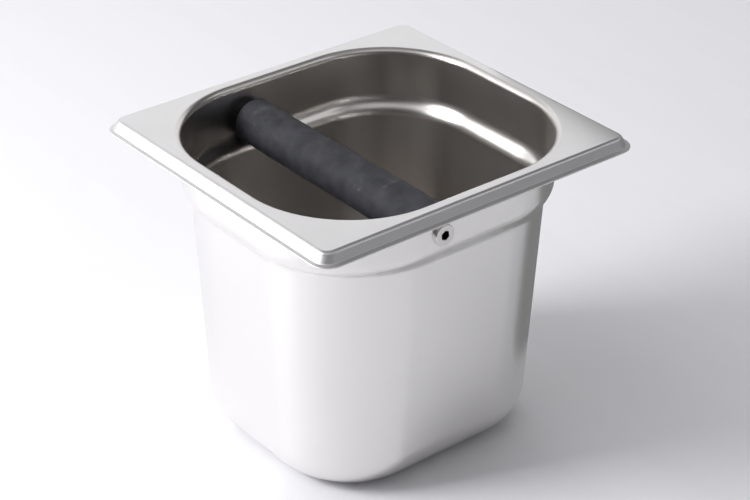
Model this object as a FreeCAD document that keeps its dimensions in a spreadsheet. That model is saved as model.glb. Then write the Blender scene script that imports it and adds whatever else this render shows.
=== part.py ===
import FreeCAD, Part
import math
import os
import Sketcher

# An espresso knock box: a deep-drawn sheet steel pan of the sixth-size gastronorm footprint, with a
# rubber-sleeved bar bolted across its mouth. Frame: origin in the middle of the pan's base, +X along
# the longer rim, +Y along the bar, +Z up. The front of the box is its -Y side. All lengths are in mm.

SIZES = [
    ("pan_height", 150.0, "base to the top of the rim"),
    ("rim_length", 176.0, "over the lips, along X"),
    ("rim_width", 162.0, "over the lips, along Y"),
    ("rim_corner", 9.0, "lip corner radius"),
    ("steel", 0.8, "sheet thickness"),
    ("land_edge", 5.8, "lip edge in to the start of the rim's outer bend"),
    ("land_bend", 2.4, "rim's outer bend, top face"),
    ("bevel_slope", 61.0, "bevel below the level, degrees"),
    ("bevel_root", 0.8, "bend between bevel and lip, top face"),
    ("lip_slope", 14.0, "lip below the level, degrees"),
    ("lip_drop", 4.9, "lip edge below the top of the rim"),
    ("collar_length", 154.5, "outside of the collar, along X"),
    ("collar_width", 140.5, "outside of the collar, along Y"),
    ("collar_corner", 50.8, "outside of the collar's corners"),
    ("collar_depth", 23.0, "top of the rim to the collar's lower end"),
    ("mouth_bend", 2.2, "bend from rim to collar, under face"),
    ("shoulder_top", 9.0, "bend at the collar's lower end, outside"),
    ("shoulder_slope", 42.0, "shoulder off the vertical, degrees"),
    ("shoulder_root", 6.7, "bend at the shoulder's foot, outside"),
    ("shoulder_step", 4.3, "how far the shoulder steps in"),
    ("wall_draft", 3.1, "side wall off the vertical, degrees"),
    ("base_bend", 19.0, "bend from side wall to base, outside"),
    ("floor_inset", 30.0, "flat floor's outline, in from the outside of the collar"),
    ("lap", 1.0, "width of the flat edge on the rim's bent strips"),
    ("bar_offset", 16.1, "bar axis from the middle, towards -X"),
    ("bar_depth", 17.3, "bar axis below the top of the rim"),
    ("hole_size", 6.2, "screw holes through the collar"),
    ("core_size", 14.0, "core tube outside diameter"),
    ("core_bore", 11.0, "core tube inside diameter"),
    ("core_gap", 0.3, "core end to the collar's inside face"),
    ("sleeve_size", 22.0, "rubber sleeve outside diameter"),
    ("sleeve_gap", 4.1, "sleeve end to the collar's inside face"),
    ("sleeve_edge", 1.5, "rounded rim of the sleeve's ends"),
    ("plug_length", 22.0, "threaded end plug"),
    ("plug_bore", 6.1, "end plug bore, over the screw's thread"),
    ("plug_lead", 0.6, "chamfer at the plug's mouth"),
    ("thread_size", 6.0, "screw shank diameter"),
    ("shank_length", 16.0, "screw length under the head"),
    ("shank_point", 0.8, "chamfer at the screw's end"),
    ("head_size", 10.0, "screw head diameter"),
    ("head_height", 1.8, "screw head height"),
    ("head_edge", 0.3, "chamfer round the head's face"),
    ("key_size", 4.0, "hexagon socket across flats"),
    ("key_depth", 2.4, "hexagon socket depth"),
    ("front_turn", 7.0, "where the front screw comes tight, degrees"),
    ("rear_turn", -16.0, "where the rear screw comes tight, degrees"),
]

VALUE = {name: value for name, value, note in SIZES}
FULL_TURN = 360.0
HALF_TURN = 180.0
KEY_SIDES = 6
CLOSE = 1e-6


def make_sheet(doc):
    sheet = doc.addObject("Spreadsheet::Sheet", "Sizes")
    for row, (name, value, note) in enumerate(SIZES, start=1):
        sheet.set("A%d" % row, note)
        sheet.set("B%d" % row, str(value))
        sheet.setAlias("B%d" % row, name)
    doc.recompute()
    return sheet


def bind(target, prop, expression):
    """Bind one property to the sheet; names of sizes are written plainly."""
    words = expression.replace("(", "( ").replace(")", " )").split()
    target.setExpression(prop, " ".join("Sizes." + w if w in VALUE else w for w in words))


def new_body(doc, name):
    body = doc.addObject("PartDesign::Body", name)
    body.Label = name
    return body


def origin_plane(body, role):
    return next(f for f in body.Origin.OriginFeatures if f.Role == role)


def new_sketch(body, name, role, lift=None):
    """A sketch on one of the body's own origin planes, lifted along its normal if asked."""
    sketch = body.newObject("Sketcher::SketchObject", name)
    sketch.AttachmentSupport = [(origin_plane(body, role), "")]
    sketch.MapMode = "FlatFace"
    if lift:
        bind(sketch, "AttachmentOffset.Base.z", lift)
    return sketch


def rule(sketch, *constraint):
    return sketch.addConstraint(Sketcher.Constraint(*constraint))


def dimension(sketch, expression, *constraint):
    """A driving dimension: the constraint's value follows the sheet."""
    index = rule(sketch, *constraint)
    bind(sketch, "Constraints[%d]" % index, expression)


# Sketch helpers ---------------------------------------------------------------------------------

START, END, CENTRE = 1, 2, 3
# The sketch's own axes; the origin is the X axis's START.
X_AXIS, Y_AXIS = -1, -2
UP = FreeCAD.Vector(0, 0, 1)


def vec(x, y):
    return FreeCAD.Vector(x, y, 0)


def unit(angle):
    """The direction at an angle, in degrees, from the sketch's X axis."""
    return vec(math.cos(math.radians(angle)), math.sin(math.radians(angle)))


def arc_between(centre, first, last):
    """The anticlockwise arc about centre from the point first to the point last."""
    angles = [math.atan2(p.y - centre.y, p.x - centre.x) for p in (first, last)]
    circle = Part.Circle(centre, UP, (first - centre).Length)
    return Part.ArcOfCircle(circle, angles[0], angles[1])


def circle(sketch, size):
    """A circle about the sketch's origin, whose diameter is one of the sheet's sizes."""
    index = sketch.addGeometry(Part.Circle(vec(0, 0), UP, VALUE[size] / 2))
    rule(sketch, "Coincident", index, CENTRE, X_AXIS, START)
    dimension(sketch, size, "Diameter", index, VALUE[size])


def rounded_rectangle(sketch, half, corner, sizes, split=False):
    """A rounded rectangle about the origin. half and corner start the solver; sizes are the three
    expressions that drive it: length, width and corner radius. split puts a vertex in the middle of
    the -Y side."""
    inner = (half[0] - corner, half[1] - corner)
    corners = [(1, -1), (1, 1), (-1, 1), (-1, -1)]
    arcs = []
    for number, (sx, sy) in enumerate(corners):
        centre = vec(sx * inner[0], sy * inner[1])
        first = centre + unit(90 * number - 90) * corner
        last = centre + unit(90 * number) * corner
        arcs.append(sketch.addGeometry(arc_between(centre, first, last)))
    ends = [(sketch.getPoint(arcs[k], END), sketch.getPoint(arcs[(k + 1) % 4], START)) for k in range(4)]
    sides = [sketch.addGeometry(Part.LineSegment(a, b)) for a, b in ends]
    for k, side in enumerate(sides):
        if k < 3 or not split:
            rule(sketch, "Tangent", side, END, arcs[(k + 1) % 4], START)
        rule(sketch, "Tangent", arcs[k], END, side, START)
        rule(sketch, "Horizontal" if k % 2 else "Vertical", side)
    if split:
        middle = vec(0, -half[1])
        sketch.moveGeometry(sides[3], END, middle)
        rest = sketch.addGeometry(Part.LineSegment(middle, sketch.getPoint(arcs[0], START)))
        rule(sketch, "Coincident", sides[3], END, rest, START)
        rule(sketch, "Tangent", rest, END, arcs[0], START)
        rule(sketch, "PointOnObject", rest, START, Y_AXIS)
        rule(sketch, "Horizontal", rest)
    for other in arcs[1:]:
        rule(sketch, "Equal", arcs[0], other)
    rule(sketch, "Symmetric", arcs[0], CENTRE, arcs[2], CENTRE, X_AXIS, START)
    dimension(sketch, sizes[0], "DistanceX", arcs[2], END, arcs[0], END, 2 * half[0])
    dimension(sketch, sizes[1], "DistanceY", arcs[0], START, arcs[1], END, 2 * half[1])
    dimension(sketch, sizes[2], "Radius", arcs[0], corner)


class Strip:
    """The section of a bent strip of sheet: a face made of straight legs and bends, the opposite face
    at the sheet's thickness to its left, and the two cut ends. legs holds each leg's direction in
    degrees and its length, and bends each bend's radius on the drawn face."""

    def __init__(self, sketch, start, legs, bends):
        self.sketch = sketch
        thickness = VALUE["steel"]
        self.face, self.back, self.arcs, self.back_arcs = [], [], [], []
        at = start
        joints = []
        for number, (heading, length) in enumerate(legs):
            way, across = unit(heading), unit(heading + 90) * thickness
            tip = at + way * length
            self.face.append(self.add(Part.LineSegment(at, tip)))
            self.back.append(self.add(Part.LineSegment(at + across, tip + across)))
            if number < len(bends):
                turn = legs[number + 1][0] - heading
                left = 1 if turn > 0 else -1
                centre = tip + unit(heading + 90 * left) * bends[number]
                exit_way = unit(legs[number + 1][0] - 90 * left)
                after = centre + exit_way * bends[number]
                swell = bends[number] - thickness * left
                back_tip, back_after = tip + across, centre + exit_way * swell
                pairs = [(tip, after), (back_tip, back_after)]
                if left < 0:
                    pairs = [(b, a) for a, b in pairs]
                self.arcs.append(self.add(arc_between(centre, *pairs[0])))
                self.back_arcs.append(self.add(arc_between(centre, *pairs[1])))
                joints.append((START, END) if left > 0 else (END, START))
                at = after
        self.join(joints)

    def add(self, shape):
        return self.sketch.addGeometry(shape)

    def join(self, joints):
        sketch = self.sketch
        for lines, arcs in ((self.face, self.arcs), (self.back, self.back_arcs)):
            for number, (entry, leave) in enumerate(joints):
                rule(sketch, "Tangent", lines[number], END, arcs[number], entry)
                rule(sketch, "Tangent", arcs[number], leave, lines[number + 1], START)
        for arc, back_arc in zip(self.arcs, self.back_arcs):
            rule(sketch, "Coincident", arc, CENTRE, back_arc, CENTRE)
        for line, back_line in zip(self.face, self.back):
            rule(sketch, "Parallel", line, back_line)
        first_cut = self.cut(0, START)
        self.cut(-1, END)
        dimension(sketch, "steel", "Distance", first_cut, VALUE["steel"])

    def cut(self, number, end):
        """The cut edge of the sheet at one end of the strip."""
        sketch = self.sketch
        near, far = sketch.getPoint(self.face[number], end), sketch.getPoint(self.back[number], end)
        edge = self.add(Part.LineSegment(near, far))
        rule(sketch, "Coincident", edge, START, self.face[number], end)
        rule(sketch, "Coincident", edge, END, self.back[number], end)
        rule(sketch, "Perpendicular", edge, self.face[number])
        return edge

    def bend_sizes(self, names):
        for arc, name in zip(self.arcs, names):
            dimension(self.sketch, name, "Radius", arc, VALUE[name])

    def heading(self, number, expression, degrees):
        dimension(self.sketch, expression, "Angle", self.face[number], math.radians(degrees))


# The pan ----------------------------------------------------------------------------------------


def wall_section(body):
    """Collar, shoulder, side wall and base bend, drawn on the outer face of the -Y wall."""
    v = VALUE
    sketch = new_sketch(body, "WallSection", "YZ_Plane")
    slope, draft = v["shoulder_slope"], v["wall_draft"]
    top = v["pan_height"] - v["steel"]
    collar = v["collar_depth"] - v["steel"] - v["mouth_bend"]
    bends = [v[name] for name in ("mouth_bend", "shoulder_top", "shoulder_root", "base_bend")]
    taken = bends[1] * (1 - math.cos(math.radians(slope)))
    taken += bends[2] * (math.cos(math.radians(draft)) - math.cos(math.radians(slope)))
    ramp = (v["shoulder_step"] - taken) / math.sin(math.radians(slope))
    foot = v["pan_height"] - v["collar_depth"] - bends[1] * math.sin(math.radians(slope))
    foot -= ramp * math.cos(math.radians(slope))
    foot -= bends[2] * (math.sin(math.radians(slope)) - math.sin(math.radians(draft)))
    wall = (foot - bends[3] * (1 - math.sin(math.radians(draft)))) / math.cos(math.radians(draft))
    start = vec(-(v["collar_width"] / 2 + bends[0] + v["lap"]), top)
    floor = v["floor_inset"] - v["shoulder_step"] - wall * math.sin(math.radians(draft))
    floor -= bends[3] * math.cos(math.radians(draft))
    legs = [(0, v["lap"]), (-90, collar), (slope - 90, ramp), (draft - 90, wall), (0, floor)]
    strip = Strip(sketch, start, legs, bends)
    strip.bend_sizes(["mouth_bend", "shoulder_top", "shoulder_root", "base_bend"])
    land, collar_leg, ramp_leg, wall_leg, base = strip.face
    rule(sketch, "Horizontal", land)
    rule(sketch, "Vertical", collar_leg)
    rule(sketch, "Horizontal", base)
    rule(sketch, "PointOnObject", base, START, X_AXIS)
    strip.heading(2, "(shoulder_slope - 90) * 1 deg", slope - 90)
    strip.heading(3, "(wall_draft - 90) * 1 deg", draft - 90)
    dimension(sketch, "lap", "Distance", land, v["lap"])
    reach = v["collar_width"] / 2 - v["floor_inset"]
    dimension(sketch, "collar_width / 2 - floor_inset", "DistanceX", base, END, X_AXIS, START, reach)
    dimension(sketch, "pan_height - steel", "DistanceY", X_AXIS, START, land, START, top)
    half = v["collar_width"] / 2
    dimension(sketch, "collar_width / 2", "DistanceX", collar_leg, START, X_AXIS, START, half)
    low = v["pan_height"] - v["collar_depth"]
    dimension(sketch, "pan_height - collar_depth", "DistanceY", X_AXIS, START, collar_leg, END, low)
    step = v["shoulder_step"]
    dimension(sketch, "shoulder_step", "DistanceX", collar_leg, END, wall_leg, START, step)
    return sketch


def lip_section(body):
    """The rim's outer bend, bevel and lip, drawn on the top face of the -Y side."""
    v = VALUE
    sketch = new_sketch(body, "LipSection", "YZ_Plane")
    bevel, lip = math.radians(v["bevel_slope"]), math.radians(v["lip_slope"])
    bends = [v["land_bend"], v["bevel_root"]]
    run = v["land_edge"] - bends[0] * math.sin(bevel) - bends[1] * (math.sin(bevel) - math.sin(lip))
    fall = v["lip_drop"] - bends[0] * (1 - math.cos(bevel))
    fall -= bends[1] * (math.cos(lip) - math.cos(bevel))
    # The two straight legs make up the run and the fall that the bends leave.
    sine = math.sin(bevel - lip)
    bevel_length = (fall * math.cos(lip) - run * math.sin(lip)) / sine
    lip_length = (run * math.sin(bevel) - fall * math.cos(bevel)) / sine
    half = v["rim_width"] / 2
    start = vec(-(half - v["land_edge"] - v["lap"]), v["pan_height"])
    legs = [(180, v["lap"]), (180 + v["bevel_slope"], bevel_length), (180 + v["lip_slope"], lip_length)]
    strip = Strip(sketch, start, legs, bends)
    strip.bend_sizes(["land_bend", "bevel_root"])
    land, bevel_leg, lip_leg = strip.face
    rule(sketch, "Horizontal", land)
    strip.heading(1, "(180 + bevel_slope) * 1 deg", 180 + v["bevel_slope"])
    strip.heading(2, "(180 + lip_slope) * 1 deg", 180 + v["lip_slope"])
    dimension(sketch, "lap", "Distance", land, v["lap"])
    dimension(sketch, "pan_height", "DistanceY", X_AXIS, START, land, START, v["pan_height"])
    edge = half - v["land_edge"]
    dimension(sketch, "rim_width / 2 - land_edge", "DistanceX", land, END, X_AXIS, START, edge)
    dimension(sketch, "rim_width / 2", "DistanceX", lip_leg, END, X_AXIS, START, half)
    drop = v["lip_drop"]
    dimension(sketch, "lip_drop", "DistanceY", lip_leg, END, land, START, drop)
    return sketch


def sweep(body, name, section, path):
    pipe = body.newObject("PartDesign::AdditivePipe", name)
    pipe.Profile = section
    pipe.Spine = (path, [])
    pipe.Mode = "Frenet"
    pipe.Transition = "Transformed"


def inset_outline(which, inset, words):
    """A rounded rectangle drawn in from the collar or the rim: half sizes and corner radius for the
    solver to start from, and the expressions that drive them."""
    v = VALUE
    half = (v[which + "_length"] / 2 - inset, v[which + "_width"] / 2 - inset)
    sizes = ["%s - 2 * ( %s )" % (which + side, words) for side in ("_length", "_width")]
    return half, v[which + "_corner"] - inset, sizes + ["%s_corner - ( %s )" % (which, words)]


def ring_path(body, name, which):
    """The closed path round the pan that a section is swept along."""
    path = new_sketch(body, name, "XY_Plane")
    rounded_rectangle(path, *inset_outline(which, 0.0, "0"), split=True)
    return path


def plate(body, name, lift, outlines):
    """A flat plate of the sheet's thickness, its underside at the height lift."""
    sketch = new_sketch(body, name + "Outline", "XY_Plane", lift)
    for outline in outlines:
        rounded_rectangle(sketch, *outline)
    pad = body.newObject("PartDesign::Pad", name)
    pad.Profile = sketch
    bind(pad, "Length", "steel * 1 mm")


def screw_holes(body):
    """One hole through each long side of the collar, in line."""
    v = VALUE
    sketch = new_sketch(body, "HoleSection", "XZ_Plane")
    height = v["pan_height"] - v["bar_depth"]
    hole = sketch.addGeometry(Part.Circle(vec(-v["bar_offset"], height), UP, v["hole_size"] / 2))
    dimension(sketch, "hole_size", "Diameter", hole, v["hole_size"])
    dimension(sketch, "bar_offset", "DistanceX", hole, CENTRE, X_AXIS, START, v["bar_offset"])
    dimension(sketch, "pan_height - bar_depth", "DistanceY", X_AXIS, START, hole, CENTRE, height)
    pocket = body.newObject("PartDesign::Pocket", "ScrewHoles")
    pocket.Profile = sketch
    pocket.Midplane = True
    bind(pocket, "Length", "rim_width * 1 mm")


def make_pan(doc):
    v = VALUE
    body = new_body(doc, "pan")
    sweep(body, "Wall", wall_section(body), ring_path(body, "CollarPath", "collar"))
    plate(body, "Floor", None, [inset_outline("collar", v["floor_inset"], "floor_inset")])
    mouth = inset_outline("collar", -v["mouth_bend"] - v["lap"], "0 - mouth_bend - lap")
    land = inset_outline("rim", v["land_edge"] + v["lap"], "land_edge + lap")
    plate(body, "Land", "( pan_height - steel ) * 1 mm", [land, mouth])
    sweep(body, "Lip", lip_section(body), ring_path(body, "RimPath", "rim"))
    doc.recompute()
    screw_holes(body)


# The knock bar ----------------------------------------------------------------------------------


def on_bar_axis(body, spin=0.0, half_turn=False, reach=None):
    """Place a piece that is drawn about its own Y axis on the bar's axis. spin turns it about that
    axis; half_turn faces it to the rear; reach moves it along Y."""
    turn = FreeCAD.Rotation(FreeCAD.Vector(0, 0, 1), HALF_TURN if half_turn else 0.0)
    turn = turn.multiply(FreeCAD.Rotation(FreeCAD.Vector(0, 1, 0), spin))
    body.Placement = FreeCAD.Placement(FreeCAD.Vector(), turn)
    bind(body, "Placement.Base.x", "bar_offset * -1 mm")
    bind(body, "Placement.Base.z", "( pan_height - bar_depth ) * 1 mm")
    if reach:
        bind(body, "Placement.Base.y", reach)


def bar_length(gap):
    """The expression for the length between the collar's inside faces, less a gap at each end."""
    return "( collar_width - 2 * steel - 2 * %s ) * 1 mm" % gap


def ring_pad(body, name, sizes, length):
    """A cylinder along Y, centred on the origin; a second size makes it a tube."""
    sketch = new_sketch(body, name + "Section", "XZ_Plane")
    for size in sizes:
        circle(sketch, size)
    pad = body.newObject("PartDesign::Pad", name)
    pad.Profile = sketch
    pad.Midplane = True
    bind(pad, "Length", length)
    return pad


def edges_of_radius(feature, size, ends=None):
    """The names of a feature's full circle edges of one diameter; ends picks them by their place."""
    found = []
    for number, edge in enumerate(feature.Shape.Edges, start=1):
        curve = edge.Curve
        round_edge = isinstance(curve, Part.Circle) and abs(2 * curve.Radius - size) < CLOSE
        if round_edge and (ends is None or ends(curve.Center.y)):
            found.append("Edge%d" % number)
    return found


def dress(body, kind, name, base, edges, size):
    """A fillet or chamfer on named edges of a feature."""
    feature = body.newObject("PartDesign::" + kind, name)
    feature.Base = (base, edges)
    bind(feature, "Radius" if kind == "Fillet" else "Size", size + " * 1 mm")


def make_core(doc):
    body = new_body(doc, "bar_core")
    ring_pad(body, "Tube", ["core_size", "core_bore"], bar_length("core_gap"))
    on_bar_axis(body)


def make_sleeve(doc):
    body = new_body(doc, "bar_sleeve")
    tube = ring_pad(body, "Rubber", ["sleeve_size", "core_size"], bar_length("sleeve_gap"))
    doc.recompute()
    rims = edges_of_radius(tube, VALUE["sleeve_size"])
    dress(body, "Fillet", "RoundedEnds", tube, rims, "sleeve_edge")
    on_bar_axis(body)


def make_plug(doc, name, rear):
    """A threaded plug pressed into one end of the core, flush with it; its mouth faces the wall."""
    body = new_body(doc, name)
    plug = ring_pad(body, "Plug", ["core_bore", "plug_bore"], "plug_length * 1 mm")
    doc.recompute()
    mouth = edges_of_radius(plug, VALUE["plug_bore"], lambda y: y < 0)
    dress(body, "Chamfer", "ThreadLead", plug, mouth, "plug_lead")
    inward = "( collar_width / 2 - steel - core_gap - plug_length / 2 ) * %d mm" % (1 if rear else -1)
    on_bar_axis(body, half_turn=rear, reach=inward)


def screw_profile(body):
    """Half the screw's section, on the +X side of its axis: the head from y = 0 outwards, -Y, and the
    shank from y = 0 inwards, +Y."""
    v = VALUE
    sketch = new_sketch(body, "ScrewSection", "XY_Plane")
    head, shank = v["head_size"] / 2, v["thread_size"] / 2
    edge, point = v["head_edge"], v["shank_point"]
    tall, deep = v["head_height"], v["shank_length"]
    outline = [
        (0, -tall),
        (head - edge, -tall),
        (head, edge - tall),
        (head, 0),
        (shank, 0),
        (shank, deep - point),
        (shank - point, deep),
        (0, deep),
    ]
    corners = [vec(*corner) for corner in outline]
    lines = []
    for here, there in zip(corners, corners[1:] + corners[:1]):
        lines.append(sketch.addGeometry(Part.LineSegment(here, there)))
    for line, following in zip(lines, lines[1:] + lines[:1]):
        rule(sketch, "Coincident", line, END, following, START)
    face, bevel, side, seat, stem, taper, tip, axis = lines
    for level in (face, seat, tip):
        rule(sketch, "Horizontal", level)
    for upright in (side, stem):
        rule(sketch, "Vertical", upright)
    rule(sketch, "PointOnObject", axis, START, Y_AXIS)
    rule(sketch, "PointOnObject", axis, END, Y_AXIS)
    rule(sketch, "PointOnObject", seat, START, X_AXIS)
    dimension(sketch, "head_height", "DistanceY", face, START, X_AXIS, START, tall)
    dimension(sketch, "head_size / 2", "DistanceX", X_AXIS, START, side, START, head)
    dimension(sketch, "thread_size / 2", "DistanceX", X_AXIS, START, stem, START, shank)
    dimension(sketch, "shank_length", "DistanceY", X_AXIS, START, axis, START, deep)
    dimension(sketch, "head_edge", "DistanceX", bevel, START, bevel, END, edge)
    dimension(sketch, "head_edge", "DistanceY", bevel, START, bevel, END, edge)
    dimension(sketch, "shank_point", "DistanceX", taper, END, taper, START, point)
    dimension(sketch, "shank_point", "DistanceY", taper, START, taper, END, point)
    return sketch


def key_socket(body):
    """The hexagon socket in the head's face, one corner of it straight up."""
    v = VALUE
    sketch = new_sketch(body, "KeySection", "XZ_Plane", "head_height * 1 mm")
    reach = v["key_size"] / math.sqrt(3)
    corners = [unit(90 + FULL_TURN * k / KEY_SIDES) * reach for k in range(KEY_SIDES)]
    sides = []
    for here, there in zip(corners, corners[1:] + corners[:1]):
        sides.append(sketch.addGeometry(Part.LineSegment(here, there)))
    guide = sketch.addGeometry(Part.Circle(vec(0, 0), UP, reach), True)
    rule(sketch, "Coincident", guide, CENTRE, X_AXIS, START)
    for side, following in zip(sides, sides[1:] + sides[:1]):
        rule(sketch, "Coincident", side, END, following, START)
    for side in sides:
        rule(sketch, "PointOnObject", side, START, guide)
    for side in sides[1:]:
        rule(sketch, "Equal", sides[0], side)
    rule(sketch, "PointOnObject", sides[0], START, Y_AXIS)
    dimension(sketch, "key_size / sqrt( 3 )", "Radius", guide, reach)
    pocket = body.newObject("PartDesign::Pocket", "KeySocket")
    pocket.Profile = sketch
    bind(pocket, "Length", "key_depth * 1 mm")
    return pocket


def make_screw(doc, name, spin, rear):
    """A low-head screw, seated on the outside of the collar."""
    body = new_body(doc, name)
    profile = screw_profile(body)
    turned = body.newObject("PartDesign::Revolution", "Turned")
    turned.Profile = profile
    turned.ReferenceAxis = (profile, ["V_Axis"])
    turned.Angle = FULL_TURN
    doc.recompute()
    solid = turned.Shape.Volume
    socket = key_socket(body)
    doc.recompute()
    if socket.Shape.Volume >= solid:
        raise RuntimeError(name + ": the socket cuts nothing")
    outward = "collar_width / 2 * %d mm" % (1 if rear else -1)
    on_bar_axis(body, spin, rear, outward)


# Checks and files -------------------------------------------------------------------------------


def check(doc):
    for item in doc.Objects:
        if {"Invalid", "Error"} & set(item.State):
            raise RuntimeError("%s is %s" % (item.Name, item.State))
    for body in bodies(doc):
        shape = body.Shape
        if shape.isNull() or not shape.isValid() or len(shape.Solids) != 1:
            raise RuntimeError(body.Label + " has no sound single solid")
        box = shape.optimalBoundingBox()
        size = (box.XLength, box.YLength, box.ZLength)
        print("%-15s %8.2f cm3   %6.1f x %6.1f x %6.1f mm" % ((body.Label, shape.Volume / 1000) + size))


def bodies(doc):
    return [item for item in doc.Objects if item.TypeId == "PartDesign::Body"]


def export(doc):
    os.makedirs("parts", exist_ok=True)
    for body in bodies(doc):
        body.Shape.exportStep("parts/%s.step" % body.Label)


def main():
    doc = FreeCAD.newDocument("KnockBox")
    make_sheet(doc)
    make_pan(doc)
    make_core(doc)
    make_sleeve(doc)
    make_plug(doc, "front_end_plug", rear=False)
    make_plug(doc, "rear_end_plug", rear=True)
    make_screw(doc, "front_screw", VALUE["front_turn"], rear=False)
    make_screw(doc, "rear_screw", VALUE["rear_turn"], rear=True)
    doc.recompute()
    check(doc)
    export(doc)


main()
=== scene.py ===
import math

import bpy
from mathutils import Matrix, Vector, noise


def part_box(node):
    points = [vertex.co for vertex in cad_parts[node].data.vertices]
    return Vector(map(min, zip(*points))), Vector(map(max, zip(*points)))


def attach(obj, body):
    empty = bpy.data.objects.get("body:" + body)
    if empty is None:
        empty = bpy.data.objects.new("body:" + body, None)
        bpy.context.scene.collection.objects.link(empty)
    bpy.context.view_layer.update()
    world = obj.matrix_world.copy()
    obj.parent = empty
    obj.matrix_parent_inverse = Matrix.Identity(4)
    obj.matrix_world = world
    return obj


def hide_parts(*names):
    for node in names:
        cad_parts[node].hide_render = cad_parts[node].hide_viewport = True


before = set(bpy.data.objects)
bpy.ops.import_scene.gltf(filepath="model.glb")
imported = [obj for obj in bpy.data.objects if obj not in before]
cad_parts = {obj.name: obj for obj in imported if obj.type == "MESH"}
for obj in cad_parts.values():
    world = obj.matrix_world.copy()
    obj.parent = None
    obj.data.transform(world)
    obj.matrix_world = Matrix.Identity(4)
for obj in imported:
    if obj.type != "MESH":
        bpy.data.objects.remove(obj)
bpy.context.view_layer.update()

MM = 0.001

# The pan's sheet, bend by bend, in millimetres. Radii are on the top and inner face.
SHEET = 0.8
LAND_EDGE, LIP_DROP = 5.8, 4.9
LIP_SLOPE, BEVEL_SLOPE = 14.0, 61.0
BEVEL_ROOT, LAND_BEND = 0.8, 2.4
CUT_EDGE = 0.25
COLLAR_LENGTH, COLLAR_WIDTH, COLLAR_CORNER = 154.5, 140.5, 50.8
RIM_CORNER = 9.0
MOUTH_BEND = 3.0
COLLAR_DEPTH = 23.0
SHOULDER_TOP, SHOULDER_SLOPE, SHOULDER_ROOT = 8.2, 42.0, 7.5
SHOULDER_STEP = 4.3
WALL_DRAFT = 3.1
BASE_BEND = 18.2
HOLE_RADIUS = 3.1

# The bar and its screws, in millimetres and degrees.
CORE_RADIUS = 7.0
SLEEVE_ROUND = 1.5
# How far the rubber's mean surface lies in from the CAD's sleeve, so that its lumps stay inside.
SLEEVE_SLACK = 0.22
# Wear marks across the sleeve, placed along the bar. Beyond the front one the rubber stands prouder.
FRONT_MARK, REAR_MARK = -37.0, 54.5
MARK_SWAY = 0.8
UNWORN, WORN = 0.16, -0.10
WIDE_LUMP, FINE_LUMP = 0.14, 0.05
LUMP_TURN, LUMP_LENGTH, FINER = 0.6, 18.0, 3.7
HEAD_EDGE, HEAD_HEIGHT, SEAT_EDGE = 0.3, 1.8, 0.15
SHANK_RADIUS, SHANK_POINT, SHANK_NECK = 3.0, 0.8, 1.0
THREAD_PITCH, THREAD_DEPTH, RIDGE_SLOPE = 1.0, 0.55, 1.25
KEY_SIZE, KEY_DEPTH, KEY_LEAD = 4.0, 2.4, 0.15
KEY_FLOOR = 0.4
SHARP_TURN = 40.0
FRONT_TURN, REAR_TURN = 7.0, -16.0

pan_low, pan_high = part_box("pan")
sleeve_low, sleeve_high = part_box("bar_sleeve")
PAN_HEIGHT = (pan_high.z - pan_low.z) / MM
RIM_LENGTH, RIM_WIDTH = (pan_high.x - pan_low.x) / MM, (pan_high.y - pan_low.y) / MM
BAR_X, BAR_Z = [(sleeve_low[k] + sleeve_high[k]) / 2 / MM for k in (0, 2)]
SLEEVE_RADIUS = (sleeve_high.x - sleeve_low.x) / 2 / MM
SLEEVE_REACH = sleeve_high.y / MM
screw_low, screw_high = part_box("front_screw")
HEAD_FACE, SCREW_TIP = -screw_low.y / MM, -screw_high.y / MM
HEAD_RADIUS = (screw_high.x - screw_low.x) / 2 / MM

# Mesh helpers -------------------------------------------------------------------------------------


def new_object(name, points, faces, materials, face_materials=None, normals=None):
    """A smooth mesh object. Points are in millimetres in the part's own frame."""
    mesh = bpy.data.meshes.new(name)
    mesh.from_pydata([Vector(p) * MM for p in points], [], faces)
    for material in materials:
        mesh.materials.append(material)
    if face_materials:
        mesh.polygons.foreach_set("material_index", face_materials)
    mesh.polygons.foreach_set("use_smooth", [True] * len(mesh.polygons))
    if normals:
        mesh.normals_split_custom_set_from_vertices([tuple(n) for n in normals])
    mesh.update()
    thing = bpy.data.objects.new(name, mesh)
    bpy.context.scene.collection.objects.link(thing)
    return thing


class Outline:
    """The line of a bent strip in section: inset inwards, height upwards. It keeps each point with
    the surface's normal, which lies to the left of the way the line runs."""

    def __init__(self, inset, height, heading):
        self.at = Vector((inset, height))
        self.heading = heading
        self.points = []
        self.keep()

    def way(self):
        angle = math.radians(self.heading)
        return Vector((math.cos(angle), math.sin(angle)))

    def keep(self):
        way = self.way()
        self.points.append((self.at.copy(), Vector((-way.y, way.x))))

    def line(self, *lengths):
        for length in lengths:
            self.at += self.way() * length
            self.keep()
        return self

    def turn(self, angle, radius, steps):
        """An arc to the left for a positive angle, to the right for a negative one."""
        side = 1 if angle > 0 else -1
        centre = self.at + Vector((-self.way().y, self.way().x)) * side * radius
        for _ in range(steps):
            self.heading += angle / steps
            self.at = centre + Vector((self.way().y, -self.way().x)) * side * radius
            self.keep()
        return self


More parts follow.
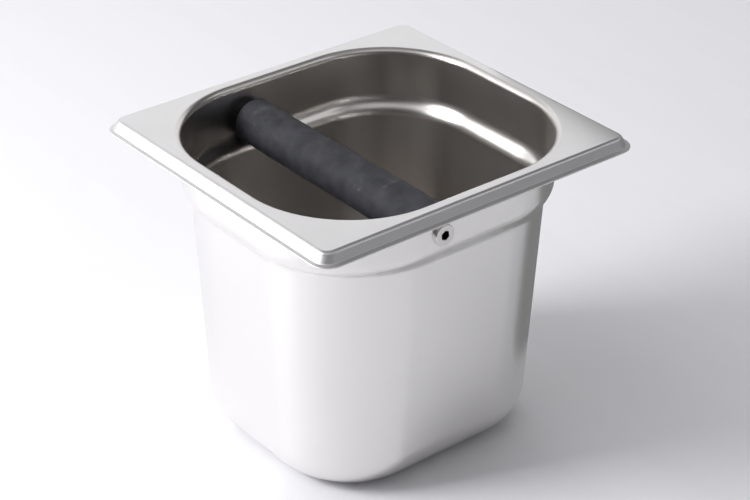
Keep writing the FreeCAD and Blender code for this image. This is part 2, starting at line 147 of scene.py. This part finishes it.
def rounded_ring(half_length, half_width, corner, side_stops, corner_steps):
    """Points round a rounded rectangle, anticlockwise from the start of the -Y side, each with its
    outward direction. side_stops gives the places of extra points along the +-Y sides, as shares of
    the side from -X to +X."""
    ring = []
    centre_x, centre_y = half_length - corner, half_width - corner
    for side, (sx, sy) in enumerate(((1, -1), (1, 1), (-1, 1), (-1, -1))):
        facing = math.radians(90 * side - 90)
        outward = Vector((math.cos(facing), math.sin(facing)))
        along = Vector((-outward.y, outward.x))
        reach = centre_x if side % 2 == 0 else centre_y
        stops = {0: side_stops, 2: [1 - s for s in reversed(side_stops)]}.get(side, [0.5])
        middle = outward * (half_width if side % 2 == 0 else half_length)
        for stop in stops:
            ring.append((middle + along * reach * (2 * stop - 1), outward))
        for step in range(corner_steps + 1):
            angle = math.radians(90 * side - 90 + 90 * step / corner_steps)
            direction = Vector((math.cos(angle), math.sin(angle)))
            ring.append((Vector((sx * centre_x, sy * centre_y)) + direction * corner, direction))
    return ring


# The pan ------------------------------------------------------------------------------------------

CORNER_STEPS = 30
BEND_STEPS = 8
EDGE_STEPS = 4
HOLE_STEPS = 40
# Half the side of the square patch round each screw's hole, in the collar's flat side. The patch is
# told from its neighbours by its height, and by how near its middle is to the bar's axis.
PATCH = 5.5
PATCH_TALL, PATCH_NEAR = 1.9 * PATCH, 1.0


def lip_line():
    """The rim's edge, lip, bevel and land, inset from the rim's outer edge."""
    bevel, lip = math.radians(BEVEL_SLOPE), math.radians(LIP_SLOPE)
    run = LAND_EDGE - LAND_BEND * math.sin(bevel) - BEVEL_ROOT * (math.sin(bevel) - math.sin(lip))
    fall = LIP_DROP - LAND_BEND * (1 - math.cos(bevel)) - BEVEL_ROOT * (math.cos(lip) - math.cos(bevel))
    lip_length = (run * math.sin(bevel) - fall * math.cos(bevel)) / math.sin(bevel - lip)
    bevel_length = (fall * math.cos(lip) - run * math.sin(lip)) / math.sin(bevel - lip)
    line = Outline(CUT_EDGE * math.cos(lip), PAN_HEIGHT - LIP_DROP + CUT_EDGE * math.sin(lip), LIP_SLOPE)
    line.line(lip_length - CUT_EDGE)
    line.turn(BEVEL_SLOPE - LIP_SLOPE, BEVEL_ROOT, BEND_STEPS)
    line.line(bevel_length)
    line.turn(-BEVEL_SLOPE, LAND_BEND, BEND_STEPS)
    return line.points


def wall_line():
    """Mouth, collar, shoulder, side wall and floor, inset from the collar's outer face."""
    slope, draft = math.radians(SHOULDER_SLOPE), math.radians(WALL_DRAFT)
    taken = SHOULDER_TOP * (1 - math.cos(slope)) + SHOULDER_ROOT * (math.cos(draft) - math.cos(slope))
    shift = SHEET * (1 - math.cos(draft))
    ramp = (SHOULDER_STEP - shift - taken) / math.sin(slope)
    line = Outline(SHEET - MOUTH_BEND, PAN_HEIGHT, 0.0)
    line.turn(-90.0, MOUTH_BEND, 2 * BEND_STEPS)
    low, high = BAR_Z - PATCH, BAR_Z + PATCH
    collar_top, collar_foot = PAN_HEIGHT - MOUTH_BEND, PAN_HEIGHT - COLLAR_DEPTH
    line.line(collar_top - high, high - low, low - collar_foot)
    line.turn(SHOULDER_SLOPE, SHOULDER_TOP, 2 * BEND_STEPS)
    line.line(ramp)
    line.turn(WALL_DRAFT - SHOULDER_SLOPE, SHOULDER_ROOT, BEND_STEPS)
    drop = line.at.y - SHEET - BASE_BEND * (1 - math.sin(draft))
    wall = drop / math.cos(draft)
    line.line(wall / 2, wall / 2)
    line.turn(90.0 - WALL_DRAFT, BASE_BEND, 3 * BEND_STEPS)
    return line.points


def edge_line():
    """The lip's cut edge, rounded over, from its underside to its top."""
    at, normal = lip_line()[0]
    start = at - normal * SHEET
    line = Outline(start.x, start.y, LIP_SLOPE + 180.0)
    line.turn(-90.0, CUT_EDGE, EDGE_STEPS)
    line.line(SHEET - 2 * CUT_EDGE)
    line.turn(-90.0, CUT_EDGE, EDGE_STEPS)
    return line.points


def underside(points):
    """The same line on the sheet's other face, with its normals turned round."""
    return [(at - normal * SHEET, -normal) for at, normal in points]


def make_pan(outside, rim, inside):
    lip, wall, edge = lip_line(), wall_line(), edge_line()
    low_lip, low_wall = underside(lip), underside(wall)
    rows = [("collar", p, 0) for p in reversed(low_wall)]
    rows += [("rim", p, 0) for p in reversed(low_lip)]
    rows += [("rim", p, 1) for p in edge[1:-1]]
    rows += [("rim", p, 1) for p in lip]
    rows += [("collar", p, 1 if number < BEND_STEPS // 2 else 2) for number, p in enumerate(wall)]
    centre = COLLAR_LENGTH / 2 - COLLAR_CORNER
    spots = [BAR_X - PATCH, BAR_X + PATCH, 0.0, -BAR_X]
    stops = [(x + centre) / (2 * centre) for x in spots]
    points, normals, bands = [], [], []
    for base, (at, normal), band in rows:
        size = (COLLAR_LENGTH, COLLAR_WIDTH, COLLAR_CORNER)
        if base == "rim":
            size = (RIM_LENGTH, RIM_WIDTH, RIM_CORNER)
        half_length, half_width, corner = size[0] / 2 - at.x, size[1] / 2 - at.x, size[2] - at.x
        ring = rounded_ring(half_length, half_width, corner, stops, CORNER_STEPS)
        for place, outward in ring:
            points.append(Vector((place.x, place.y, at.y)))
            normals.append(Vector((-normal.x * outward.x, -normal.x * outward.y, normal.y)))
        bands.append(band)
    count = len(points) // len(rows)
    skip = hole_cells(rows, count, points)
    faces, face_materials = [], []
    for row in range(len(rows) - 1):
        for k in range(count):
            if (row, k) in skip:
                continue
            a, b = row * count + k, row * count + (k + 1) % count
            faces.append((a, b, b + count, a + count))
            face_materials.append(max(bands[row], bands[row + 1]) if bands[row] else bands[row])
    faces.append(tuple(reversed(range(count))))
    face_materials.append(0)
    faces.append(tuple(range((len(rows) - 1) * count, len(rows) * count)))
    face_materials.append(2)
    cut_holes(skip, count, points, normals, faces, face_materials, bands)
    pan = new_object("pan_sheet", points, faces, [outside, rim, inside], face_materials, normals)
    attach(pan, "bin")
    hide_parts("pan")


def hole_cells(rows, count, points):
    """The cells of the collar's two faces, front and rear, that hold the screws' holes."""
    cells = []
    for row in range(len(rows) - 1):
        for k in range(count):
            corners = [points[row * count + k], points[(row + 1) * count + (k + 1) % count]]
            middle = (corners[0] + corners[1]) / 2
            tall = abs(corners[0].z - corners[1].z) > PATCH_TALL
            if tall and abs(middle.x - BAR_X) < PATCH_NEAR and abs(middle.z - BAR_Z) < PATCH_NEAR:
                cells.append((row, k))
    return cells


def cut_holes(cells, count, points, normals, faces, face_materials, bands):
    """Fills each such cell with a flat patch round a hole, and lines the hole between the faces."""
    rims = {}
    for row, k in cells:
        here, above = row * count + k, (row + 1) * count + k
        corners = [here, here + 1, above + 1, above]
        y = points[corners[0]].y
        facing = normals[corners[0]].copy()
        first = len(points)
        for step in range(HOLE_STEPS):
            angle = math.tau * step / HOLE_STEPS
            across, up = HOLE_RADIUS * math.cos(angle), HOLE_RADIUS * math.sin(angle)
            points.append(Vector((BAR_X + across, y, BAR_Z + up)))
            normals.append(facing)
        quarter = HOLE_STEPS // 4
        # Each corner takes the quarter of the hole's rim nearest to it.
        by_angle = {}
        for corner in corners:
            away = points[corner] - Vector((BAR_X, y, BAR_Z))
            by_angle[round(math.degrees(math.atan2(away.z, away.x)) % 360 / 90 - 0.5)] = corner
        for number in range(4):
            here, following = by_angle[number], by_angle[(number + 1) % 4]
            for step in range(quarter):
                a = first + (number * quarter + step) % HOLE_STEPS
                b = first + (number * quarter + step + 1) % HOLE_STEPS
                faces.append(outward_face((here, b, a), points, facing))
            end = first + (number + 1) * quarter % HOLE_STEPS
            faces.append(outward_face((here, following, end), points, facing))
        face_materials += [bands[row]] * (HOLE_STEPS + 4)
        rims.setdefault(y > 0, []).append(y)
    for ys in rims.values():
        first = len(points)
        for y in ys:
            for step in range(HOLE_STEPS):
                angle = math.tau * step / HOLE_STEPS
                direction = Vector((math.cos(angle), 0.0, math.sin(angle)))
                points.append(Vector((BAR_X, y, BAR_Z)) + direction * HOLE_RADIUS)
                normals.append(-direction)
        for step in range(HOLE_STEPS):
            a, b = first + step, first + (step + 1) % HOLE_STEPS
            quad = (a, b, b + HOLE_STEPS, a + HOLE_STEPS)
            faces.append(outward_face(quad, points, normals[a]))
            face_materials.append(0)


def outward_face(face, points, facing):
    """The face, wound so that it looks the way its normal should."""
    a, b, c = [points[k] for k in face[:3]]
    if (b - a).cross(c - a).dot(facing) < 0:
        return tuple(reversed(face))
    return face


# The bar ------------------------------------------------------------------------------------------

SLEEVE_STEPS, SLEEVE_RINGS, SLEEVE_END_STEPS = 96, 150, 8


def sleeve_radius(y, angle):
    """The rubber is a little uneven, and slightly prouder beyond the front wear mark."""
    spot = Vector((math.cos(angle) * LUMP_TURN, math.sin(angle) * LUMP_TURN, y / LUMP_LENGTH))
    uneven = WIDE_LUMP * noise.noise(spot) + FINE_LUMP * noise.noise(spot * FINER)
    proud = UNWORN if y < FRONT_MARK + MARK_SWAY * math.sin(2 * angle) else WORN
    return SLEEVE_RADIUS - SLEEVE_SLACK + uneven + proud


def make_sleeve(rubber):
    """The rings run from the rear bore to the front one: a place along the bar, and how far the end's
    rounding dips there. A dip of None is the bore."""
    points, faces = [], []
    profile = []
    for step in range(SLEEVE_END_STEPS + 1):
        angle = math.radians(90 * step / SLEEVE_END_STEPS)
        place = SLEEVE_REACH - SLEEVE_ROUND * (1 - math.sin(angle))
        profile.append((place, SLEEVE_ROUND * (1 - math.cos(angle))))
    ends = [(SLEEVE_REACH, None)] + profile[::-1]
    inner = SLEEVE_REACH - SLEEVE_ROUND
    along = [(inner - 2 * inner * k / SLEEVE_RINGS, 0.0) for k in range(1, SLEEVE_RINGS)]
    rings = ends + along + [(-y, dip) for y, dip in reversed(ends)]
    for y, dip in rings:
        for step in range(SLEEVE_STEPS):
            angle = math.tau * step / SLEEVE_STEPS
            radius = CORE_RADIUS if dip is None else sleeve_radius(y, angle) - dip
            points.append((BAR_X + radius * math.cos(angle), y, BAR_Z + radius * math.sin(angle)))
    for ring in range(len(rings) - 1):
        for step in range(SLEEVE_STEPS):
            a = ring * SLEEVE_STEPS + step
            b = ring * SLEEVE_STEPS + (step + 1) % SLEEVE_STEPS
            faces.append((b, a, a + SLEEVE_STEPS, b + SLEEVE_STEPS))
    sleeve = new_object("rubber_sleeve", points, faces, [rubber])
    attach(sleeve, "knock_bar")
    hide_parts("bar_sleeve")


# The screws ---------------------------------------------------------------------------------------

SCREW_STEPS, HEAD_EDGE_STEPS = 48, 6
# Rings of points in each turn of the thread.
THREAD_RINGS = 10


def hexagon_radius(size, angle):
    """How far a hexagon's side lies from its middle, at an angle from the middle of one side."""
    return size / 2 / math.cos((angle + math.pi / 6) % (math.pi / 3) - math.pi / 6)


def screw_rings():
    """The head from the bottom of its key hole out to the shank: radius, reach, and whether the ring
    is a hexagon. Reach is measured outwards along the bar."""
    key = KEY_SIZE / 2
    bottom = HEAD_FACE - KEY_DEPTH
    rings = [(KEY_FLOOR * KEY_SIZE / 2, bottom, True), (key, bottom, True)]
    rings += [(key, HEAD_FACE - KEY_LEAD, True), (key + KEY_LEAD, HEAD_FACE, True)]
    rings.append(((key + HEAD_RADIUS) / 2, HEAD_FACE, False))
    for step in range(HEAD_EDGE_STEPS + 1):
        angle = math.radians(90 * step / HEAD_EDGE_STEPS)
        rings.append((HEAD_RADIUS - HEAD_EDGE * (1 - math.sin(angle)),
                      HEAD_FACE - HEAD_EDGE * (1 - math.cos(angle)), False))
    seat = HEAD_FACE - HEAD_HEIGHT
    rings += [(HEAD_RADIUS, seat + SEAT_EDGE, False), (HEAD_RADIUS - SEAT_EDGE, seat, False)]
    rings.append((SHANK_RADIUS, seat, False))
    return rings


def thread_radius(reach, angle):
    """A ridge that climbs one pitch in each turn, run out at the tip."""
    phase = (reach / THREAD_PITCH - angle / math.tau) % 1.0
    ridge = SHANK_RADIUS - THREAD_DEPTH * min(1.0, abs(2 * phase - 1) * RIDGE_SLOPE)
    return min(ridge, SHANK_RADIUS - SHANK_POINT + (reach - SCREW_TIP))


def make_screw(name, node, body, side, turn, metal, dark):
    """side is -1 for the screw in the -Y wall and 1 for the one in the +Y wall. The key hole's bottom
    and walls are painted dark as shade, and the rest is metal."""
    points, faces, face_materials = [], [], []
    rings = screw_rings()
    neck = rings[-1][1] - SHANK_NECK
    count = int((neck - SCREW_TIP) / THREAD_PITCH * THREAD_RINGS)
    threads = [neck - (neck - SCREW_TIP) * k / count for k in range(count + 1)]

    def add(radius, reach, angle):
        swing = angle + math.radians(turn)
        across, up = radius * math.cos(swing), radius * math.sin(swing)
        points.append((BAR_X + across, side * reach, BAR_Z + up))

    for radius, reach, six in rings:
        for step in range(SCREW_STEPS):
            angle = math.tau * step / SCREW_STEPS
            add(hexagon_radius(2 * radius, angle) if six else radius, reach, angle)
    for reach in threads:
        for step in range(SCREW_STEPS):
            angle = math.tau * step / SCREW_STEPS
            add(thread_radius(reach, angle), reach, angle)
    rows = len(rings) + len(threads)
    for row in range(rows - 1):
        for step in range(SCREW_STEPS):
            a = row * SCREW_STEPS + step
            b = row * SCREW_STEPS + (step + 1) % SCREW_STEPS
            quad = (a, b, b + SCREW_STEPS, a + SCREW_STEPS)
            faces.append(quad if side < 0 else tuple(reversed(quad)))
            face_materials.append(1 if row < 2 else 0)
    last = (rows - 1) * SCREW_STEPS
    for loop, flip in ((range(SCREW_STEPS), side < 0), (range(last, last + SCREW_STEPS), side > 0)):
        faces.append(tuple(reversed(loop)) if flip else tuple(loop))
        face_materials.append(1 if loop[0] == 0 else 0)
    screw = new_object(name, points, faces, [metal, dark], face_materials)
    screw.data.set_sharp_from_angle(angle=math.radians(SHARP_TURN))
    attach(screw, body)
    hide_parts(node)


# Materials ----------------------------------------------------------------------------------------

EVEN = (1, 1, 1)
NOISE_ROUGHNESS = 0.55
# The sheet's slow waves: how many to a metre, and how deep in metres.
SHEET_WAVES, SHEET_DEPTH = 22.0, 0.0006
# A crescent begins and is whole at these shares of the sleeve's radius above the bar's axis.
CRESCENT_RISE = (0.55, 0.9)
# The rim's land is smoother than its bevel and lip, between these depths below its top in millimetres.
ROUGHER_FROM, ROUGHER_BY, ROUGHER = 0.4, 1.4, 0.15


class Shader:
    """A Principled material under construction, whose patterns are laid out in object space."""

    def __init__(self, name, **sockets):
        self.material = bpy.data.materials.new(name)
        self.material.use_nodes = True
        self.tree = self.material.node_tree
        self.surface = self.tree.nodes["Principled BSDF"]
        for socket, value in sockets.items():
            self.surface.inputs[socket.replace("_", " ")].default_value = value
        self.place = self.tree.nodes.new("ShaderNodeTexCoord").outputs["Object"]

    def node(self, kind, links=(), **values):
        node = self.tree.nodes.new(kind)
        for name, value in values.items():
            if name in node.inputs:
                node.inputs[name].default_value = value
            else:
                setattr(node, name, value)
        for name, output in links:
            self.tree.links.new(output, node.inputs[name])
        return node

    def stretched(self, scale):
        return self.node("ShaderNodeMapping", [("Vector", self.place)], Scale=scale).outputs[0]

    def noise(self, scale, size, detail=3.0):
        """size is the number of patches to a metre, and scale stretches them along each axis."""
        node = self.node("ShaderNodeTexNoise", [("Vector", self.stretched(scale))], Scale=size)
        node.inputs["Detail"].default_value = detail
        node.inputs["Roughness"].default_value = NOISE_ROUGHNESS
        return node.outputs["Fac"]

    def ramp(self, factor, *stops):
        """Stops are (place, grey or colour)."""
        node = self.node("ShaderNodeValToRGB", [("Fac", factor)])
        while len(node.color_ramp.elements) < len(stops):
            node.color_ramp.elements.new(0.5)
        for element, (place, colour) in zip(node.color_ramp.elements, stops):
            element.position = place
            element.color = (*(colour if hasattr(colour, "__len__") else [colour] * 3), 1.0)
        return node.outputs["Color"]

    def range(self, factor, low, high, start=0.0, end=1.0, kind="LINEAR"):
        """Goes from low to high as the factor goes from start to end."""
        node = self.node("ShaderNodeMapRange", [("Value", factor)], interpolation_type=kind)
        for socket, value in (("From Min", start), ("From Max", end), ("To Min", low), ("To Max", high)):
            node.inputs[socket].default_value = value
        return node.outputs[0]

    def bump(self, height, distance, strength, under=None):
        """distance is the height's full depth, in metres."""
        links = [("Height", height)] + ([("Normal", under)] if under else [])
        return self.node("ShaderNodeBump", links, Distance=distance, Strength=strength).outputs[0]

    def math(self, operation, first, second=None, number=None):
        """The second term is another node's output, or a plain number."""
        links = [(0, first)] + ([(1, second)] if second else [])
        node = self.node("ShaderNodeMath", links, operation=operation)
        if number is not None:
            node.inputs[1].default_value = number
        return node.outputs[0]

    def sum(self, first, second):
        return self.math("ADD", first, second)

    def product(self, first, second):
        return self.math("MULTIPLY", first, second)

    def scaled(self, value, share):
        return self.math("MULTIPLY", value, number=share)

    def shifted(self, value, amount):
        return self.math("ADD", value, number=amount)

    def size_of(self, value):
        return self.math("ABSOLUTE", value)

    def split(self):
        """The place's X, Y and Z."""
        return self.node("ShaderNodeSeparateXYZ", [("Vector", self.place)]).outputs

    def waves(self, strength):
        return self.bump(self.noise(EVEN, SHEET_WAVES, 1.0), SHEET_DEPTH, strength)

    def blend(self, share, under, colour):
        node = self.node("ShaderNodeMixRGB", [("Fac", share), ("Color1", under)])
        node.inputs["Color2"].default_value = colour
        return node.outputs["Color"]

    def inset(self):
        """How far a point lies beyond the rim's outer rectangle, negative within it. It is the same all
        along a side."""
        split = self.split()
        sides = [self.shifted(self.size_of(split[axis]), -reach / 2 * MM)
                 for axis, reach in (("X", RIM_LENGTH), ("Y", RIM_WIDTH))]
        return self.math("MAXIMUM", *sides)

    def crescent(self, middle, width, bend):
        """A curved band across the top of the bar, fading down its sides. middle is in millimetres
        along the bar; width and bend are in metres."""
        split = self.split()
        side = self.scaled(self.shifted(split["X"], -BAR_X * MM), 1 / (SLEEVE_RADIUS * MM))
        curve = self.scaled(self.product(side, side), -bend)
        away = self.size_of(self.sum(self.shifted(split["Y"], -middle * MM), curve))
        band = self.range(away, 1.0, 0.0, 0.0, width, "SMOOTHSTEP")
        faded, full = [(BAR_Z + share * SLEEVE_RADIUS) * MM for share in CRESCENT_RISE]
        top = self.range(split["Z"], 0.0, 1.0, faded, full, "SMOOTHSTEP")
        return self.product(band, top)

    def feed(self, **outputs):
        for socket, output in outputs.items():
            self.tree.links.new(output, self.surface.inputs[socket.replace("_", " ")])
        return self.material


def steel(name, colour, roughness, spread, waves, stretch=0.0):
    """Drawn stainless steel: cloudy roughness, spread about a mean, and a gently uneven sheet, whose
    waves have a strength from 0. stretch draws its reflections out up and down, as fine lines round
    the pan do."""
    shader = Shader(name, Metallic=1.0, Base_Color=(*colour, 1.0), Anisotropic=stretch)
    cloud = shader.noise(EVEN, 35.0)
    lines = shader.noise((0.15, 0.15, 1), 700.0, 2.0)
    # Two noises from 0 to 1 add up to 2.
    rough = shader.range(shader.sum(cloud, lines), roughness - spread, roughness + spread, end=2.0)
    fine = shader.bump(lines, 0.00001, 0.08, shader.waves(waves))
    if stretch:
        shader.surface.inputs["Anisotropic Rotation"].default_value = 0.25
        tangent = shader.node("ShaderNodeTangent", direction_type="RADIAL", axis="Z")
        shader.feed(Tangent=tangent.outputs[0])
    return shader.feed(Roughness=rough, Normal=fine)


def rim_steel():
    """The rim's steel, with faint scores that run along each of its four sides."""
    shader = Shader("steel_rim", Metallic=1.0, Base_Color=(0.775, 0.765, 0.775, 1.0))
    split = shader.split()
    # A side's own direction counts for a twentieth, so the noise is drawn out into scores.
    along = shader.scaled(shader.sum(split["X"], split["Y"]), 0.05)
    axes = [("X", shader.inset()), ("Y", along), ("Z", split["Z"])]
    place = shader.node("ShaderNodeCombineXYZ", axes).outputs[0]
    scores = shader.node("ShaderNodeTexNoise", [("Vector", place)], Scale=2600.0).outputs["Fac"]
    cloud = shader.noise(EVEN, 60.0)
    rough = shader.range(shader.sum(cloud, scores), 0.24, 0.40, end=2.0)
    top, foot = [(PAN_HEIGHT - depth) * MM for depth in (ROUGHER_FROM, ROUGHER_BY)]
    lower = shader.range(split["Z"], 0.0, ROUGHER, top, foot)
    fine = shader.bump(scores, 0.00002, 0.15, shader.waves(0.08))
    return shader.feed(Roughness=shader.sum(rough, lower), Normal=fine)


def rubber():
    """Worn black rubber: mottled, dusty with pale specks, scuffed at its far end and browned at a
    crescent near the front."""
    shader = Shader("sleeve_rubber", Specular_IOR_Level=0.32)
    cloud = shader.noise(EVEN, 120.0, 6.0)
    base = shader.ramp(cloud, (0.32, (0.019, 0.0195, 0.025)), (0.68, (0.039, 0.0395, 0.049)))
    dust = shader.ramp(shader.noise(EVEN, 420.0, 2.0), (0.66, 0.0), (0.74, 1.0))
    patch = shader.ramp(shader.noise(EVEN, 45.0, 3.0), (0.48, 0.0), (0.66, 0.5))
    dust = shader.product(dust, patch)
    base = shader.blend(dust, base, (0.16, 0.155, 0.15, 1.0))
    broken = shader.ramp(shader.noise((1, 0.6, 1), 330.0, 5.0), (0.42, 0.0), (0.62, 1.0))
    scuff = shader.product(shader.crescent(REAR_MARK, 0.0022, 0.004), broken)
    base = shader.blend(shader.scaled(scuff, 0.5), base, (0.10, 0.10, 0.105, 1.0))
    brown = shader.product(shader.crescent(FRONT_MARK, 0.0014, 0.003), broken)
    base = shader.blend(shader.scaled(brown, 0.75), base, (0.085, 0.060, 0.052, 1.0))
    rough = shader.range(shader.noise(EVEN, 260.0), 0.62, 0.80)
    grain = shader.bump(shader.noise(EVEN, 1100.0, 5.0), 0.00012, 0.6)
    lumps = shader.bump(shader.noise((1, 0.5, 1), 150.0, 3.0), 0.0004, 0.35, grain)
    return shader.feed(Base_Color=base, Roughness=rough, Normal=lumps)


def shade_dark_steel():
    """Dull, nearly black steel for the core tube and end plugs: painted shade for the gaps at the
    sleeve's ends.
    """
    shader = Shader("core_steel", Metallic=1.0)
    dull, bright = (0.045, 0.046, 0.052), (0.075, 0.076, 0.084)
    colour = shader.ramp(shader.noise(EVEN, 80.0), (0.3, dull), (0.7, bright))
    rough = shader.range(shader.noise((1, 0.1, 1), 300.0), 0.42, 0.58)
    return shader.feed(Base_Color=colour, Roughness=rough)


def socket_shade():
    """Nearly black colour in a key hole: painted shade for its recess."""
    shader = Shader("key_hole_shade", Specular_IOR_Level=0.2)
    black, brown = (0.004, 0.0035, 0.003), (0.012, 0.011, 0.010)
    colour = shader.ramp(shader.noise(EVEN, 900.0), (0.3, black), (0.7, brown))
    rough = shader.range(shader.noise(EVEN, 1500.0), 0.6, 0.85)
    return shader.feed(Base_Color=colour, Roughness=rough)


# Camera, floor and lights -------------------------------------------------------------------------

VIEW_BEARING, VIEW_ELEVATION, VIEW_ROLL = 39.077, 30.21, 0.402
# Distances from here on are in metres, and the lens is in millimetres.
VIEW_DISTANCE, LENS = 0.86232, 103.6
CLIP_NEAR, CLIP_FAR = 0.05, 20.0
AIM = Vector((-0.065694, -0.086052, PAN_HEIGHT * MM))
LIGHT_AIM = Vector((0, 0, 0.08))
ROOM_COLOUR = (0.06, 0.06, 0.062, 1.0)


def towards(bearing, elevation):
    """A direction from the object: bearing 0 is away from the camera, 90 to its right."""
    heading = math.radians(VIEW_BEARING + bearing)
    rise = math.radians(elevation)
    level = math.cos(rise)
    return Vector((math.sin(heading) * level, math.cos(heading) * level, math.sin(rise)))


def make_camera():
    camera = bpy.data.objects.new("camera", bpy.data.cameras.new("camera"))
    camera.data.lens = LENS
    camera.data.clip_start, camera.data.clip_end = CLIP_NEAR, CLIP_FAR
    back = towards(180.0, VIEW_ELEVATION)
    across = Vector((0, 0, 1)).cross(back).normalized()
    turn = Matrix((across, back.cross(across), back)).transposed()
    turn = turn @ Matrix.Rotation(-math.radians(VIEW_ROLL), 3, "Z").transposed()
    camera.matrix_world = Matrix.Translation(AIM + back * VIEW_DISTANCE) @ turn.to_4x4()
    bpy.context.scene.collection.objects.link(camera)
    bpy.context.scene.camera = camera


def panel(name, bearing, elevation, distance, size, radiance, sees=("diffuse", "glossy")):
    """A soft light facing the object. size is its width and height in metres, and radiance is how
    bright its face is."""
    light = bpy.data.lights.new(name, "AREA")
    light.shape = "RECTANGLE"
    light.size, light.size_y = size
    light.energy = radiance * math.pi * size[0] * size[1]
    place = bpy.data.objects.new(name, light)
    way = towards(bearing, elevation)
    place.location = LIGHT_AIM + way * distance
    place.rotation_euler = (-way).to_track_quat("-Z", "Y").to_euler()
    place.visible_camera = False
    place.visible_diffuse = "diffuse" in sees
    place.visible_glossy = "glossy" in sees
    bpy.context.scene.collection.objects.link(place)


# The floor's half width and the grey card's two foot corners and height, in millimetres.
FLOOR_HALF = 4000.0
CARD_NEAR, CARD_FAR, CARD_HEIGHT = Vector((101.0, -83.0, 0.0)), Vector((115.0, 40.0, 0.0)), 172.0
CARD_GLOW = 0.2


def make_floor():
    shader = Shader("white_table", Roughness=0.65, Specular_IOR_Level=0.3)
    grain = shader.noise((1, 0.05, 1), 60.0, 4.0)
    shader.feed(Base_Color=shader.ramp(grain, (0.0, (0.785, 0.78, 0.815)), (1.0, (0.82, 0.815, 0.85))))
    half = FLOOR_HALF
    corners = [(-half, -half, 0), (half, -half, 0), (half, half, 0), (-half, half, 0)]
    floor = new_object("floor", corners, [(0, 1, 2, 3)], [shader.material])


def make_light():
    scene = bpy.context.scene
    scene.view_settings.view_transform = "Standard"
    world = bpy.data.worlds.new("room")
    scene.world = world
    world.use_nodes = True
    world.node_tree.nodes["Background"].inputs["Color"].default_value = ROOM_COLOUR
    panel("key", -103.0, 33.0, 1.3, (0.465, 0.41), 22.5)
    panel("corner_glow", -106.0, 2.5, 1.3, (0.18, 0.25), 30.0, sees=("glossy",))
    panel("left_screen", -92.0, 25.0, 1.6, (1.9, 1.0), 0.74)
    panel("upper_left", -85.0, 57.0, 1.6, (1.7, 0.62), 0.75)
    panel("backdrop_low", -12.0, 9.0, 2.2, (5.0, 0.88), 0.72)
    panel("backdrop_high", -12.0, 31.0, 2.2, (4.8, 0.88), 1.0)
    panel("backdrop_top", -40.0, 49.0, 2.2, (2.2, 0.5), 0.4)
    panel("right_screen", 97.0, 40.0, 1.6, (1.1, 0.4), 1.0)
    panel("right_wall", 125.0, 17.0, 2.0, (2.8, 0.65), 0.09)
    panel("right_foot", 125.0, 3.0, 2.0, (2.8, 0.3), 0.9)
    panel("ceiling", 120.0, 80.0, 1.6, (2.0, 1.6), 0.22)
    panel("upper_front", 180.0, 60.0, 1.6, (2.0, 0.9), 0.33)
    panel("front_fill", -120.0, 60.0, 1.3, (1.0, 1.0), 1.0, sees=("diffuse",))
    panel("back_fill", 10.0, 55.0, 1.8, (1.8, 1.2), 0.8, sees=("diffuse",))


def make_flag():
    """A grey card out of the camera's sight, which gives the steel's right edge its dark line."""
    black, white = (0, 0, 0, 1), (1, 1, 1, 1)
    shader = Shader("grey_card", Base_Color=black, Emission_Color=white, Emission_Strength=CARD_GLOW)
    rise = Vector((0.0, 0.0, CARD_HEIGHT))
    corners = [CARD_NEAR, CARD_FAR, CARD_FAR + rise, CARD_NEAR + rise]
    card = new_object("flag", corners, [(0, 1, 2, 3)], [shader.material])
    card.visible_camera = card.visible_diffuse = card.visible_shadow = False


make_camera()
make_floor()
make_light()
make_flag()
outer = steel("steel_outside", (0.84, 0.83, 0.815), roughness=0.26, spread=0.03, waves=0.05, stretch=0.55)
rim = rim_steel()
# Same sheet as the outside: the darker, warmer colour is painted shade for the pan's inside.
inner = steel("steel_inside_shaded", (0.72, 0.695, 0.675), roughness=0.29, spread=0.03, waves=0.05, stretch=0.2)
make_pan(outer, rim, inner)
make_sleeve(rubber())
screw_metal = steel("screw_steel", (0.72, 0.71, 0.69), roughness=0.30, spread=0.05, waves=0.0)
# Painted shade for the screws' key holes.
key_hole_shade = socket_shade()
for end, side, turn in (("front", -1, FRONT_TURN), ("rear", 1, REAR_TURN)):
    make_screw(end + "_screw_detail", end + "_screw", end + "_screw_body", side, turn, screw_metal, key_hole_shade)
# The core and end plugs take the nearly black steel, painted shade for the gaps at the sleeve's ends.
core_metal = shade_dark_steel()
for node in ("bar_core", "front_end_plug", "rear_end_plug"):
    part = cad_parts[node]
    part.data.materials.clear()
    part.data.materials.append(core_metal)
